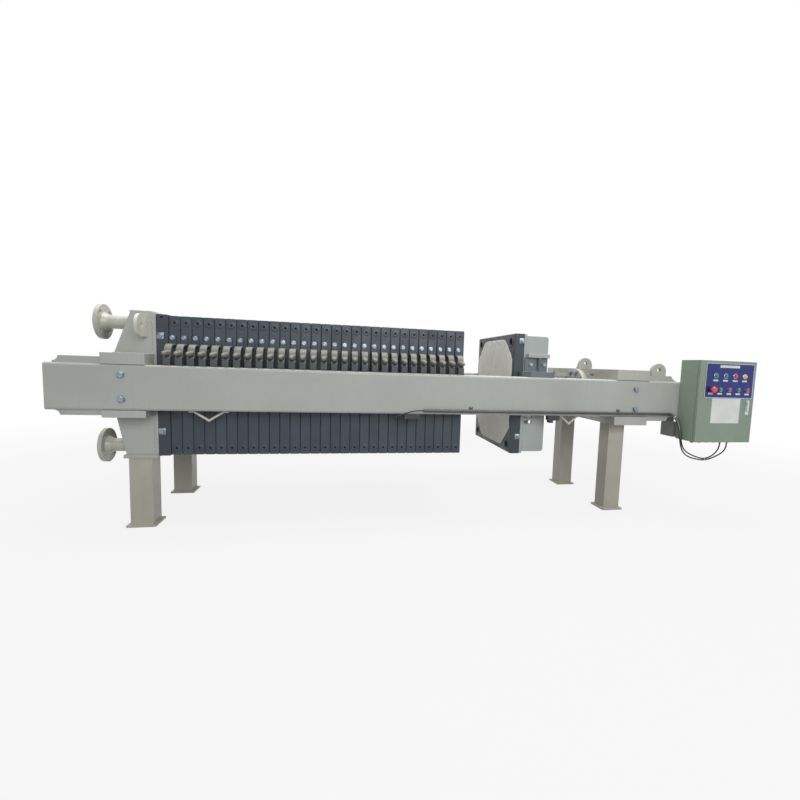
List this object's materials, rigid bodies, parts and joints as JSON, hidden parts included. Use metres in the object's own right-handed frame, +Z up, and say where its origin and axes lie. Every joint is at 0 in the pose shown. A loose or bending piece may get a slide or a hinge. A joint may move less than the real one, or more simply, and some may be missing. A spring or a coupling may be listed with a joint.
{
  "type": "plate filter press",
  "caption": "Plate filter press: square filter plates hung between two box beams, a fixed feed head with flanged pipes, a hydraulic pusher and a side control cabinet.",
  "frame": {"origin": "middle of the bounding box at floor level", "axes": "+X from the feed head to the ram end, +Y to the back, away from the cabinet side, +Z up"},
  "size_m": [4.27, 1.318, 1.2695],
  "materials": {
    "frame_paint": "satin",
    "plate_plastic": "satin",
    "handle_plastic": "matte",
    "cabinet_paint": "satin",
    "panel_blue": "gloss",
    "cloth": "matte",
    "steel_bright": "satin",
    "chrome": "polished",
    "carrier_paint": "satin",
    "hook_paint": "satin",
    "conduit_grey": "satin",
    "switch_grey": "matte",
    "black_plastic": "matte",
    "lens_green": "gloss",
    "lens_red": "gloss",
    "lens_yellow": "gloss"
  },
  "bodies": {
    "frame": {"beam_front": "frame_paint", "beam_back": "frame_paint", "thrust_plate": "frame_paint", "feed_head_webs": "frame_paint", "feed_head_blocks": "frame_paint", "feed_head_covers": "frame_paint", "feed_lifting_ears": "frame_paint", "feed_legs": "frame_paint", "ram_legs": "frame_paint", "feed_pipe": "frame_paint", "outlet_pipes": "frame_paint", "head_plate": "plate_plastic", "filter_plates_odd": "plate_plastic", "filter_plates_even": "plate_plastic", "plate_handles_front": "handle_plastic", "plate_handles_back": "handle_plastic", "ram_head": "frame_paint", "ram_cylinder": "frame_paint", "ram_lifting_lugs": "frame_paint", "tray_hooks": "hook_paint", "limit_switch_feed": "switch_grey", "limit_switch_ram": "black_plastic", "conduit": "conduit_grey", "conduit_clips": "steel_bright", "cabinet_case": "cabinet_paint", "mounting_plate": "steel_bright", "cabinet_bracket": "frame_paint", "cable_glands": "black_plastic", "cabinet_cable_inner": "black_plastic", "cabinet_cable_outer": "black_plastic", "switch_lead": "black_plastic"},
    "pusher": {"pressing_plate": "frame_paint", "slide_carriers": "carrier_paint", "tail_plate": "plate_plastic", "filter_cloth": "cloth", "piston_rod": "chrome"},
    "door": {"cabinet_door": "cabinet_paint", "control_panel": "panel_blue", "lamps_green": "lens_green", "lamp_red": "lens_red", "lamp_yellow": "lens_yellow", "button_rings": "chrome", "stop_collar": "black_plastic", "latch_plate": "chrome"},
    "door_lever": {"latch_lever": "chrome"},
    "emergency_stop": {"stop_button": "lens_red"},
    "green_button_1": {"button_green_1": "lens_green"},
    "red_button_1": {"button_red_1": "lens_red"},
    "green_button_2": {"button_green_2": "lens_green"},
    "red_button_2": {"button_red_2": "lens_red"}
  },
  "joints": [
    {"name": "pusher_slide", "type": "slide", "parent": "frame", "child": "pusher", "axis": [1, 0, 0], "range_m": [-0.34, 0.1]},
    {"name": "door_hinge", "type": "hinge", "parent": "frame", "child": "door", "pos_m": [1.697, -0.599, 0.818], "axis": [0, 0, -1], "range_deg": [0, 100]},
    {"name": "lever_flip", "type": "hinge", "parent": "door", "child": "door_lever", "pos_m": [2.086, -0.6233, 0.821], "axis": [-1, 0, 0], "range_deg": [0, 40]},
    {"name": "stop_push", "type": "slide", "parent": "door", "child": "emergency_stop", "axis": [0, 1, 0], "range_m": [0, 0.005]},
    {"name": "green_button_1_push", "type": "slide", "parent": "door", "child": "green_button_1", "axis": [0, 1, 0], "range_m": [0, 0.003]},
    {"name": "red_button_1_push", "type": "slide", "parent": "door", "child": "red_button_1", "axis": [0, 1, 0], "range_m": [0, 0.003]},
    {"name": "green_button_2_push", "type": "slide", "parent": "door", "child": "green_button_2", "axis": [0, 1, 0], "range_m": [0, 0.003]},
    {"name": "red_button_2_push", "type": "slide", "parent": "door", "child": "red_button_2", "axis": [0, 1, 0], "range_m": [0, 0.003]}
  ]
}
